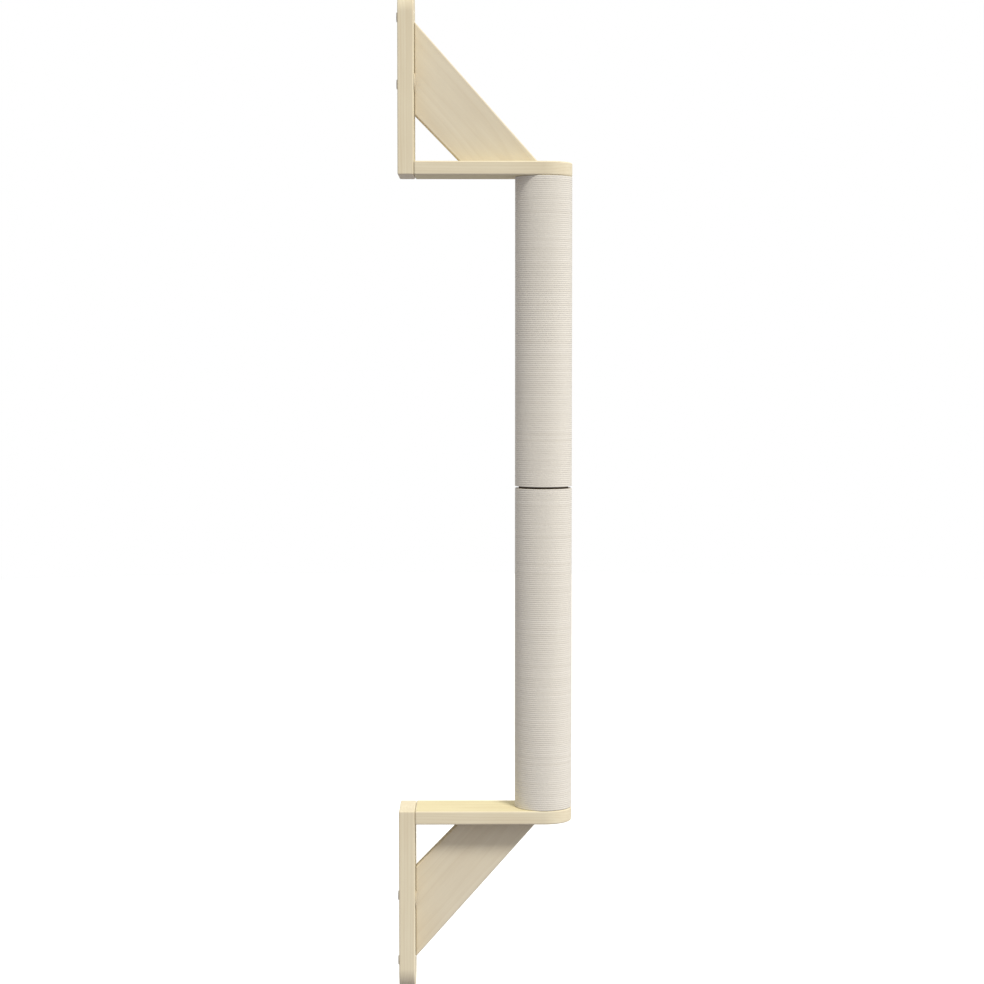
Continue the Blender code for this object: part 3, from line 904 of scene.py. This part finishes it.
@dataclass
class Bracket:
    """One bracket: wall plate, shelf and brace, with its covers, pads and shelf bolt."""

    prefix: str
    facing: Facing
    groups: SharedGroups
    brace_outer: tuple[float, float] = (0.162, 0.182)
    brace_inner: tuple[float, float] = (0.060, 0.0615)
    screw_hole_radius: float = 0.00275
    cover_dome: float = 0.0013
    cover_stem_radius: float = 0.0067
    cover_stem_length: float = 0.005
    cover_rim_radius: float = 0.0003
    pad_rounding: float = 0.0005
    bolt_head_height: float = 0.006
    bolt_radius: float = 0.003
    end_chamfer: float = 0.0006
    hex_across_flats: float = 0.005
    hex_depth: float = 0.003
    washer_radius: float = 0.006
    washer_thickness: float = 0.0016
    washer_rounding: float = 0.0002
    counterbore_clearance: float = 0.0008
    mouth_chamfer: float = 0.0004
    pith_depth: float = 0.055
    plate_pith_side: float = 0.010
    shelf_pith_side: float = -0.014
    brace_pith: tuple[float, float, float] = (0.055, 0.045, 0.075)
    cover_pith: tuple[float, float, float] = (0.01, 0.03, 0.0)

    def named(self, part: str) -> str:
        """A name of this bracket."""
        return f"{self.prefix}_{part}"

    def box(self, part: str) -> tuple[Vector, Vector]:
        """The low and high corners of a node's box."""
        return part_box(self.named(part))

    def away(self) -> Vector:
        """The way from the post, along which the boards run from the shelf."""
        return Z_AXIS * self.facing.value

    def far_end(self, part: str) -> float:
        """The height of a node's end that is farther from the post."""
        low, high = self.box(part)
        return high.z if self.facing is Facing.UP else low.z

    def near_end(self, part: str) -> float:
        """The height of a node's end that is nearer to the post."""
        low, high = self.box(part)
        return low.z if self.facing is Facing.UP else high.z

    def build(self) -> None:
        """Build and dress the whole bracket."""
        self.build_plate()
        self.build_shelf()
        self.build_brace()
        for side in ("left", "right"):
            self.build_cover(side)
        for place in ("inner", "outer"):
            self.build_pad(place)
        self.build_bolt()
        self.build_washer()
        self.dress_dowels()

    def dowels(self, *kinds: str) -> list[str]:
        """The names of the dowels of some kinds."""
        return [self.named(f"{kind}_{end}") for kind in kinds for end in DOWEL_ENDS[kind]]

    def wall_side(self, part: str) -> Vector:
        """The middle of a node's side towards the wall."""
        low, high = self.box(part)
        return Vector((low.x, (low.y + high.y) / 2, (low.z + high.z) / 2))

    def disc_size(self, part: str) -> tuple[float, float]:
        """The radius and height of a round node that lies along +X."""
        low, high = self.box(part)
        return (high.y - low.y) / 2, high.x - low.x

    def put(self, piece: Piece, part: str, finish: Finish, *labels: str) -> None:
        """Smooth a piece, dress it in a material with these labels and put it in its node's place."""
        smooth(piece)
        fit(piece, finish.name, finish.material(self.groups, *labels), self.named(part))

    def build_plate(self) -> None:
        """The upright board on the wall side."""
        low, high = self.box("wall_plate")
        plate = Board(self.named("plate_board"), low, high)
        plate.round_end(lengthwise=2, end=self.far_end("wall_plate"), through=0)
        plate.round_edges()
        for side in ("left", "right"):
            cut(plate.piece, self.screw_hole(side))
        for dowel in self.dowels("shelf_dowel", "brace_wall_dowel"):
            plate.peg_hole(dowel)
        pith = Vector((high.x + self.pith_depth, self.plate_pith_side * self.facing.value, 0))
        grain = Grain(-math.pi / 2, pith, X_AXIS)
        self.put(plate.piece, "wall_plate", replace(PINE, grain=grain), plate.name)

    def build_shelf(self) -> None:
        """The shelf over the post's end."""
        low, high = self.box("shelf")
        shelf = Board(self.named("shelf_board"), low, high)
        shelf.round_end(lengthwise=0, end=high.x, through=2)
        shelf.round_edges()
        cut(shelf.piece, self.bolt_hole())
        for dowel in self.dowels("shelf_dowel", "brace_shelf_dowel"):
            shelf.peg_hole(dowel)
        pith = Vector((0, self.shelf_pith_side, self.near_end("shelf"))) - self.away() * self.pith_depth
        grain = Grain(0.0, pith, Z_AXIS)
        self.put(shelf.piece, "shelf", replace(SHELF_PINE, grain=grain), shelf.name)

    def build_brace(self) -> None:
        """The tapered diagonal brace, on edge between plate and shelf."""
        low, high = self.box("brace")
        away = self.away()
        corner = Vector((low.x, 0, self.near_end("brace")))
        far = corner + X_AXIS * self.brace_outer[0] + away * self.brace_outer[1]
        block_low = Vector((corner.x, low.y, min(corner.z, far.z)))
        block_high = Vector((far.x, high.y, max(corner.z, far.z)))
        brace = Board(self.named("brace_board"), block_low, block_high)
        for (run, rise), outwards in ((self.brace_outer, 1), (self.brace_inner, -1)):
            beyond = (X_AXIS * rise + away * run) * outwards
            brace.saw_off(corner + X_AXIS * run, beyond.normalized())
        brace.round_edges()
        for dowel in self.dowels("brace_wall_dowel", "brace_shelf_dowel"):
            brace.peg_hole(dowel)
        slope = math.atan2(self.brace_outer[1] * self.facing.value, self.brace_outer[0])
        pith_out, pith_side, pith_away = self.brace_pith
        pith = Vector((corner.x + pith_out, high.y + pith_side, corner.z)) + away * pith_away
        grain = Grain(slope, pith, Y_AXIS)
        self.put(brace.piece, "brace", replace(BRACE_PINE, grain=grain), brace.name)

    def screw_hole(self, side: str) -> Piece:
        """A cutter for a wall screw's hole and its counterbore in the plate's front.

        Args:
            side: left or right.

        Returns:
            The cutter.
        """
        base = self.wall_side(f"screw_cover_{side}")
        bottom = base.x - CLEARANCE
        low, high = self.box("wall_plate")
        front = high.x
        back = low.x - OVERCUT
        base.x = back
        wide = self.cover_stem_radius + CLEARANCE
        mouth = wide + self.mouth_chamfer + OVERCUT
        profile = [
            (0, front + OVERCUT - back),
            (mouth, front + OVERCUT - back),
            (wide, front - self.mouth_chamfer - back),
            (wide, bottom - back),
            (self.screw_hole_radius, bottom - back),
            (self.screw_hole_radius, 0),
            (0, 0),
        ]
        return turned(self.named(f"screw_hole_{side}"), profile, base, X_AXIS, BORE_STEPS)

    def build_cover(self, side: str) -> None:
        """A domed wooden cover over a wall screw's hole.

        Args:
            side: left or right.
        """
        part = f"screw_cover_{side}"
        radius, height = self.disc_size(part)
        seat = self.cover_stem_length + CLEARANCE
        rim = height - self.cover_dome
        dome_radius = (radius**2 + self.cover_dome**2) / (2 * self.cover_dome)
        half_angle = math.degrees(math.asin((radius - self.cover_rim_radius) / dome_radius))
        edge = radius - self.cover_rim_radius
        profile = [
            *arc((0, height - dome_radius), dome_radius, 90, 90 - half_angle, DOME_STEPS),
            *arc((edge, rim - self.cover_rim_radius), self.cover_rim_radius, 60, 0, RIM_STEPS),
            (radius, seat),
            (self.cover_stem_radius, seat),
            (self.cover_stem_radius, self.end_chamfer),
            (self.cover_stem_radius - self.end_chamfer, 0),
            (0, 0),
        ]
        centre = self.wall_side(part)
        cover = turned(self.named(f"cover_{side}"), profile, centre, X_AXIS, COVER_STEPS)
        grain = Grain(-math.pi / 2, centre + Vector(self.cover_pith), X_AXIS)
        self.put(cover, part, replace(SHADED_COVER_WOOD, grain=grain), cover.name)

    def build_pad(self, place: str) -> None:
        """A low round pad between the wall and the plate's back.

        Args:
            place: inner or outer.
        """
        part = f"wall_pad_{place}"
        radius, height = self.disc_size(part)
        corner = (radius - self.pad_rounding, self.pad_rounding)
        rounding = arc(corner, self.pad_rounding, 0, -90, PAD_STEPS)
        profile = [(0, height), (radius, height), *rounding, (0, 0)]
        pad = turned(self.named(f"pad_{place}"), profile, self.wall_side(part), X_AXIS)
        self.put(pad, part, RUBBER)

    def post_axis(self, height: float) -> Vector:
        """The point on the post's axis at a height."""
        low, high = self.box("shelf_bolt")
        return Vector(((low.x + high.x) / 2, 0, height))

    def bolt_hole(self) -> Piece:
        """A cutter for the shelf bolt's hole and its counterbore.

        Returns:
            The cutter.
        """
        start = self.near_end("shelf")
        wide = self.washer_radius + self.counterbore_clearance
        seat = abs(self.near_end("bolt_washer") - start) - CLEARANCE
        front = abs(self.far_end("shelf") - start)
        bore = self.bolt_radius + CLEARANCE
        profile = [
            (0, front + 2 * OVERCUT),
            (wide + self.mouth_chamfer + OVERCUT, front + 2 * OVERCUT),
            (wide + self.mouth_chamfer + OVERCUT, front + OVERCUT),
            (wide, front - self.mouth_chamfer),
            (wide, seat),
            (bore, seat),
            (bore, -OVERCUT),
            (0, -OVERCUT),
        ]
        return turned(self.named("bolt_hole"), profile, self.post_axis(start), self.away(), BORE_STEPS)

    def build_bolt(self) -> None:
        """The socket-head bolt from the shelf into the post."""
        start = self.near_end("shelf_bolt")
        top = abs(self.far_end("shelf_bolt") - start)
        seat = top - self.bolt_head_height
        low, high = self.box("shelf_bolt")
        head = (high.x - low.x) / 2
        shank = self.bolt_radius
        chamfer = self.end_chamfer
        profile = [
            (0, top),
            *arc((head - chamfer, top - chamfer), chamfer, 90, 0, CHAMFER_STEPS),
            (head, seat),
            (shank, seat),
            (shank, chamfer),
            (shank - chamfer, 0),
            (0, 0),
        ]
        bolt = turned(self.named("socket_bolt"), profile, self.post_axis(start), self.away())
        depth = self.hex_depth + OVERCUT
        middle = self.post_axis(start) + self.away() * (top + OVERCUT - depth / 2)
        socket = primitive(
            self.named("hex_socket"), bpy.ops.mesh.primitive_cylinder_add,
            vertices=6, radius=self.hex_across_flats / math.sqrt(3), depth=depth, location=middle,
        )
        cut(bolt, socket)
        self.put(bolt, "shelf_bolt", ZINC)

    def build_washer(self) -> None:
        """The washer under the bolt's head."""
        outer = self.washer_radius
        inner = self.bolt_radius + CLEARANCE
        thick = self.washer_thickness
        edge = self.washer_rounding
        profile = [
            (inner, thick), (outer - edge, thick), (outer, thick - edge), (outer, edge), (outer - edge, 0),
            (inner, 0), (inner, thick),
        ]
        base = self.post_axis(self.near_end("bolt_washer"))
        washer = turned(self.named("flat_washer"), profile, base, self.away())
        self.put(washer, "bolt_washer", ZINC)

    def dress_dowels(self) -> None:
        """Dress the dowels, which lie along +X or stand along +Z."""
        lying = self.dowels("shelf_dowel", "brace_wall_dowel")
        for dowel in self.dowels(*DOWEL_ENDS):
            turn, axis = (0.0, X_AXIS) if dowel in lying else (-math.pi / 2, Z_AXIS)
            wood = replace(BEECH, grain=Grain(turn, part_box(dowel)[0], axis))
            dress(dowel, wood.material(self.groups, dowel))


@dataclass
class PostSection:
    """One section of the post: its rope, wound turn against turn, and what the rope hides."""

    prefix: str
    ends: tuple[str, str]
    groups: SharedGroups
    wanted_pitch: float = 0.0026
    rope_sides: int = 10
    steps_per_turn: int = 56
    outward_half: float = 0.0003
    inward_half: float = 0.0019
    squareness: float = 3.5
    climb_share: float = 0.1
    climb_middle: float = math.radians(145)
    unevenness: float = 0.00005
    unevenness_size: float = 0.012

    def build(self) -> None:
        """Wind the rope, and dress the tube, the plugs and the tee nuts inside it."""
        self.wind_rope()
        low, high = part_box(f"{self.prefix}_core_tube")
        card = replace(CARDBOARD, axis_x=(low.x + high.x) / 2)
        dress(f"{self.prefix}_core_tube", card.material(self.groups))
        for end in self.ends:
            dress(f"{self.prefix}_{end}_plug", PLYWOOD.material(self.groups))
            dress(f"{self.prefix}_{end}_tee_nut", ZINC.material(self.groups))

    def rope_nodes(self) -> list[str]:
        """The nodes that the winding stands for."""
        turns = [f"{self.prefix}_rope_turns_{end}" for end in self.ends]
        return [f"{self.prefix}_rope_wrap", *turns]

    def rope_section(self, radius: float, pitch: float) -> Piece:
        """The rope's outline where the winding starts: pressed flat outside and full inside.

        Args:
            radius: from the post's axis to the widest part of the rope.
            pitch: the rope's height.

        Returns:
            The outline, on the side of the post where the first turn starts.
        """
        rope = primitive(
            f"{self.prefix}_rope_winding", bpy.ops.mesh.primitive_circle_add,
            vertices=self.rope_sides, radius=1.0, rotation=(math.pi / 2, 0, 0),
        )
        power = 2 / self.squareness
        for vertex in rope.data.vertices:
            outward, upward = vertex.co.x, vertex.co.z
            half = self.outward_half if outward > 0 else self.inward_half
            vertex.co.x = radius + math.copysign(abs(outward) ** power, outward) * half
            vertex.co.z = math.copysign(abs(upward) ** power, upward) * pitch / 2
        rope.rotation_euler.z = self.climb_middle + math.pi * self.climb_share
        settle(rope)
        return rope

    def wind_rope(self) -> None:
        """Wind the rope as level turns, each of which steps up to the next behind the post."""
        low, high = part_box(f"{self.prefix}_core_tube")
        wrap_low, wrap_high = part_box(f"{self.prefix}_rope_wrap")
        turns = round((high.z - low.z) / self.wanted_pitch)
        pitch = (high.z - low.z) / turns
        radius = (wrap_high.x - wrap_low.x) / 2 - self.outward_half
        rope = self.rope_section(radius, pitch)
        apply_modifier(
            rope, "SCREW", steps=self.steps_per_turn, render_steps=self.steps_per_turn, iterations=turns,
            screw_offset=pitch, angle=FULL_TURN, use_merge_vertices=False,
        )
        self.level_turns(rope.data, pitch)
        self.trim_last_climb(rope, turns)
        self.map_run(rope.data, radius)
        self.close_ends(rope)
        self.roughen(rope)
        rope.location = ((low.x + high.x) / 2, (low.y + high.y) / 2, low.z + pitch / 2)
        settle(rope)
        bpy.ops.object.shade_smooth()
        fit(rope, "sisal", SISAL.material(self.groups), *self.rope_nodes())

    def level_turns(self, mesh: Mesh, pitch: float) -> None:
        """Move the rope's rings so that each turn lies level and climbs at its end only.

        Args:
            mesh: the winding, whose rings follow each other along the rope.
            pitch: the climb of one turn.
        """
        places = np.zeros(len(mesh.vertices) * 3)
        mesh.vertices.foreach_get("co", places)
        places = places.reshape(-1, self.rope_sides, 3)
        travelled = np.arange(len(places)) / self.steps_per_turn
        share = np.clip((travelled % 1 - (1 - self.climb_share)) / self.climb_share, 0, 1)
        eased = share**2 * (3 - 2 * share)
        climbed = np.floor(travelled) + eased
        places[:, :, 2] += ((climbed - travelled) * pitch)[:, None]
        mesh.vertices.foreach_set("co", places.ravel())
        mesh.update()

    def trim_last_climb(self, rope: Piece, turns: int) -> None:
        """Cut the rope off where its last turn would start to climb.

        Args:
            rope: the winding.
            turns: how many turns it has.
        """
        last_ring = round((turns - self.climb_share) * self.steps_per_turn)
        first_cut = (last_ring + 1) * self.rope_sides
        with editing(rope) as mesh:
            work = bmesh.from_edit_mesh(mesh)
            work.verts.ensure_lookup_table()
            for vertex in work.verts[first_cut:]:
                vertex.select_set(True)
            bmesh.update_edit_mesh(mesh)
            bpy.ops.mesh.delete(type="VERT")

    def map_run(self, mesh: Mesh, radius: float) -> None:
        """Give the winding a UV map: metres along the rope, and turns round it.

        Args:
            mesh: the winding's mesh.
            radius: from the post's axis to the widest part of the rope.
        """
        while mesh.uv_layers:
            mesh.uv_layers.remove(mesh.uv_layers[0])
        layer = mesh.uv_layers.new(name=SISAL.uv_map)
        corners = np.zeros(len(mesh.loops), dtype=np.int32)
        mesh.loops.foreach_get("vertex_index", corners)
        corners = corners.reshape(-1, 4)
        ring, side = np.divmod(corners, self.rope_sides)
        across_seam = np.ptp(side, axis=1) > 1
        side = np.where(across_seam[:, None] & (side == 0), self.rope_sides, side)
        run = ring * (FULL_TURN * radius / self.steps_per_turn)
        layer.uv.foreach_set("vector", np.stack([run, side / self.rope_sides], axis=-1).ravel())

    def close_ends(self, rope: Piece) -> None:
        """Fill the rope's two cut ends.

        Args:
            rope: the winding.
        """
        with editing(rope):
            bpy.ops.mesh.select_mode(type="EDGE")
            bpy.ops.mesh.select_non_manifold()
            bpy.ops.mesh.fill_holes(sides=self.rope_sides)
            bpy.ops.mesh.select_all(action="SELECT")
            bpy.ops.mesh.normals_make_consistent(inside=False)

    def roughen(self, rope: Piece) -> None:
        """Make the rope a little thicker and thinner along its run.

        Args:
            rope: the winding.
        """
        clouds = bpy.data.textures.new(f"{rope.name}_unevenness", "CLOUDS")
        clouds.noise_scale = self.unevenness_size
        clouds.noise_depth = 1
        apply_modifier(rope, "DISPLACE", texture=clouds, strength=self.unevenness, mid_level=0.5)
        bpy.data.textures.remove(clouds)


@dataclass
class PostJoint:
    """What joins the two sections: a dark spacer disc, and a stud inside."""

    groups: SharedGroups
    stud_radius: float = 0.004
    rim_radius: float = 0.0004

    def build(self) -> None:
        """Turn the spacer, and dress the stud."""
        low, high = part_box("joint_spacer")
        outer = (high.x - low.x) / 2
        inner = self.stud_radius + CLEARANCE
        thick = high.z - low.z
        rim = self.rim_radius
        profile = [
            (inner, thick),
            *arc((outer - rim, thick - rim), rim, 90, 0, CHAMFER_STEPS),
            *arc((outer - rim, rim), rim, 0, -90, CHAMFER_STEPS),
            (inner, 0),
            (inner, thick),
        ]
        base = Vector(((low.x + high.x) / 2, (low.y + high.y) / 2, low.z))
        spacer = turned("spacer_disc", profile, base, Z_AXIS, SPACER_STEPS)
        smooth(spacer)
        fit(spacer, "dark_plastic", DARK_PLASTIC.material(self.groups), "joint_spacer")
        dress("joining_stud", ZINC.material(self.groups))


@dataclass
class Studio:
    """Plain soft light, a plain pale floor and the photograph's camera."""

    camera_place: tuple[float, float, float] = (0.111, -2.948, 0.80)
    camera_pitch: float = math.radians(2.912)
    camera_yaw: float = math.radians(0.265)
    focal_length: float = 81.97
    sensor_width: float = 36.0
    shift_y: float = -0.02
    floor_height: float = -0.35
    floor_radius: float = 9.0
    floor_corners: int = 96
    floor_seen: Colour = (0.92, 0.92, 0.92)
    floor_bounce: Colour = (0.265, 0.262, 0.33)
    key_from: tuple[float, float, float] = (0.277, -0.533, 0.80)
    key_distance: float = 3.0
    key_strength: float = 2.5
    key_spread: float = math.radians(14)
    key_colour: Colour = (1.0, 0.985, 0.95)
    ambient: float = 0.66
    ambient_colour: Colour = (1.0, 0.985, 0.93)
    softbox_place: tuple[float, float, float] = (3.0, 0.3, 0.9)
    softbox_size: float = 2.0
    softbox_power: float = 31.0
    kicker_place: tuple[float, float, float] = (-0.5, 3.0, 1.6)
    kicker_size: float = 1.6
    kicker_power: float = 18.0
    aim: tuple[float, float, float] = (0.12, 0.0, 0.62)

    def build(self) -> None:
        """Set up the camera, the floor, the lamps and the world."""
        bpy.context.scene.view_settings.view_transform = "Standard"
        self.set_camera()
        self.lay_floor()
        self.hang_lamps()
        self.light_world()

    def set_camera(self) -> None:
        """Put the camera at the photograph's viewing angle."""
        turn = (math.pi / 2 - self.camera_pitch, 0.0, -self.camera_yaw)
        bpy.ops.object.camera_add(location=self.camera_place, rotation=turn)
        camera = bpy.context.object
        camera.name = "photo_camera"
        camera.data.lens = self.focal_length
        camera.data.sensor_width = self.sensor_width
        camera.data.shift_y = self.shift_y
        bpy.context.scene.camera = camera

    def seen_share(self, w: Wiring) -> Socket:
        """1 on rays by which the camera sees something straight, mirrored or through glass, else 0.

        Args:
            w: the wiring of the material or world.

        Returns:
            The share.
        """
        path = w.add("LightPath", {}).outputs
        seen = w.math("MAXIMUM", path["Is Camera Ray"], path["Is Glossy Ray"])
        return w.math("MAXIMUM", seen, path["Is Transmission Ray"])

    def lay_floor(self) -> None:
        """A wide round floor that looks pale and keeps the object's shadow."""
        floor = primitive(
            "studio_floor", bpy.ops.mesh.primitive_circle_add,
            vertices=self.floor_corners, radius=self.floor_radius, fill_type="NGON",
            location=(self.aim[0], self.aim[1], self.floor_height),
        )
        material = bpy.data.materials.new("floor_paint")
        material.use_nodes = True
        material.node_tree.nodes.clear()
        w = Wiring(material.node_tree)
        bounce = w.add("BsdfDiffuse", {"Color": opaque(self.floor_bounce)}).outputs[0]
        seen = w.add("BsdfDiffuse", {"Color": opaque(self.floor_seen)}).outputs[0]
        mixed = w.add("MixShader", {0: self.seen_share(w), 1: bounce, 2: seen}).outputs[0]
        w.add("OutputMaterial", {"Surface": mixed})
        floor.data.materials.append(material)

    def hang_lamps(self) -> None:
        """The key lamp, the softbox out from the wall side and a weak lamp straight behind."""
        towards = Vector(self.key_from)
        place = towards * self.key_distance
        bpy.ops.object.light_add(type="SUN", location=place, rotation=self.facing_from(towards))
        key = bpy.context.object
        key.name = "key_lamp"
        key.data.energy = self.key_strength
        key.data.angle = self.key_spread
        key.data.color = self.key_colour
        self.hang_softbox("softbox", self.softbox_place, self.softbox_size, self.softbox_power)
        self.hang_softbox("kicker", self.kicker_place, self.kicker_size, self.kicker_power)

    def facing_from(self, offset: Vector) -> tuple[float, float, float]:
        """The rotation that points a lamp back along an offset from what it lights."""
        return tuple(offset.to_track_quat("Z", "Y").to_euler())

    def hang_softbox(self, name: str, place: Sequence[float], size: float, power: float) -> None:
        """A square lamp aimed at the middle of the object.

        Args:
            name: the lamp's name.
            place: where it hangs.
            size: its side.
            power: its watts.
        """
        offset = Vector(place) - Vector(self.aim)
        bpy.ops.object.light_add(type="AREA", location=place, rotation=self.facing_from(offset))
        lamp = bpy.context.object
        lamp.name = name
        lamp.data.energy = power
        lamp.data.size = size

    def light_world(self) -> None:
        """An even white world: plainly white where it is seen, and softer where it lights."""
        world = bpy.data.worlds.new("studio_world")
        bpy.context.scene.world = world
        world.use_nodes = True
        world.node_tree.nodes.clear()
        w = Wiring(world.node_tree)
        feeds = {"Color": opaque(self.ambient_colour), "Strength": self.ambient}
        light = w.add("Background", feeds).outputs[0]
        seen = w.add("Background", {"Color": (1.0, 1.0, 1.0, 1.0), "Strength": 1.0}).outputs[0]
        mixed = w.add("MixShader", {0: self.seen_share(w), 1: light, 2: seen}).outputs[0]
        w.add("OutputWorld", {"Surface": mixed})


def main() -> None:
    """Build and dress the object, then the studio round it."""
    logging.basicConfig(level=logging.INFO, format="%(message)s")
    groups = SharedGroups()
    parts = [
        Bracket("upper", Facing.UP, groups),
        Bracket("lower", Facing.DOWN, groups),
        PostSection("upper", ("joint", "top"), groups),
        PostSection("lower", ("bottom", "joint"), groups),
        PostJoint(groups),
        Studio(),
    ]
    for part in parts:
        LOG.info("Building %s %s", type(part).__name__, getattr(part, "prefix", ""))
        part.build()


if __name__ == "__main__":
    main()
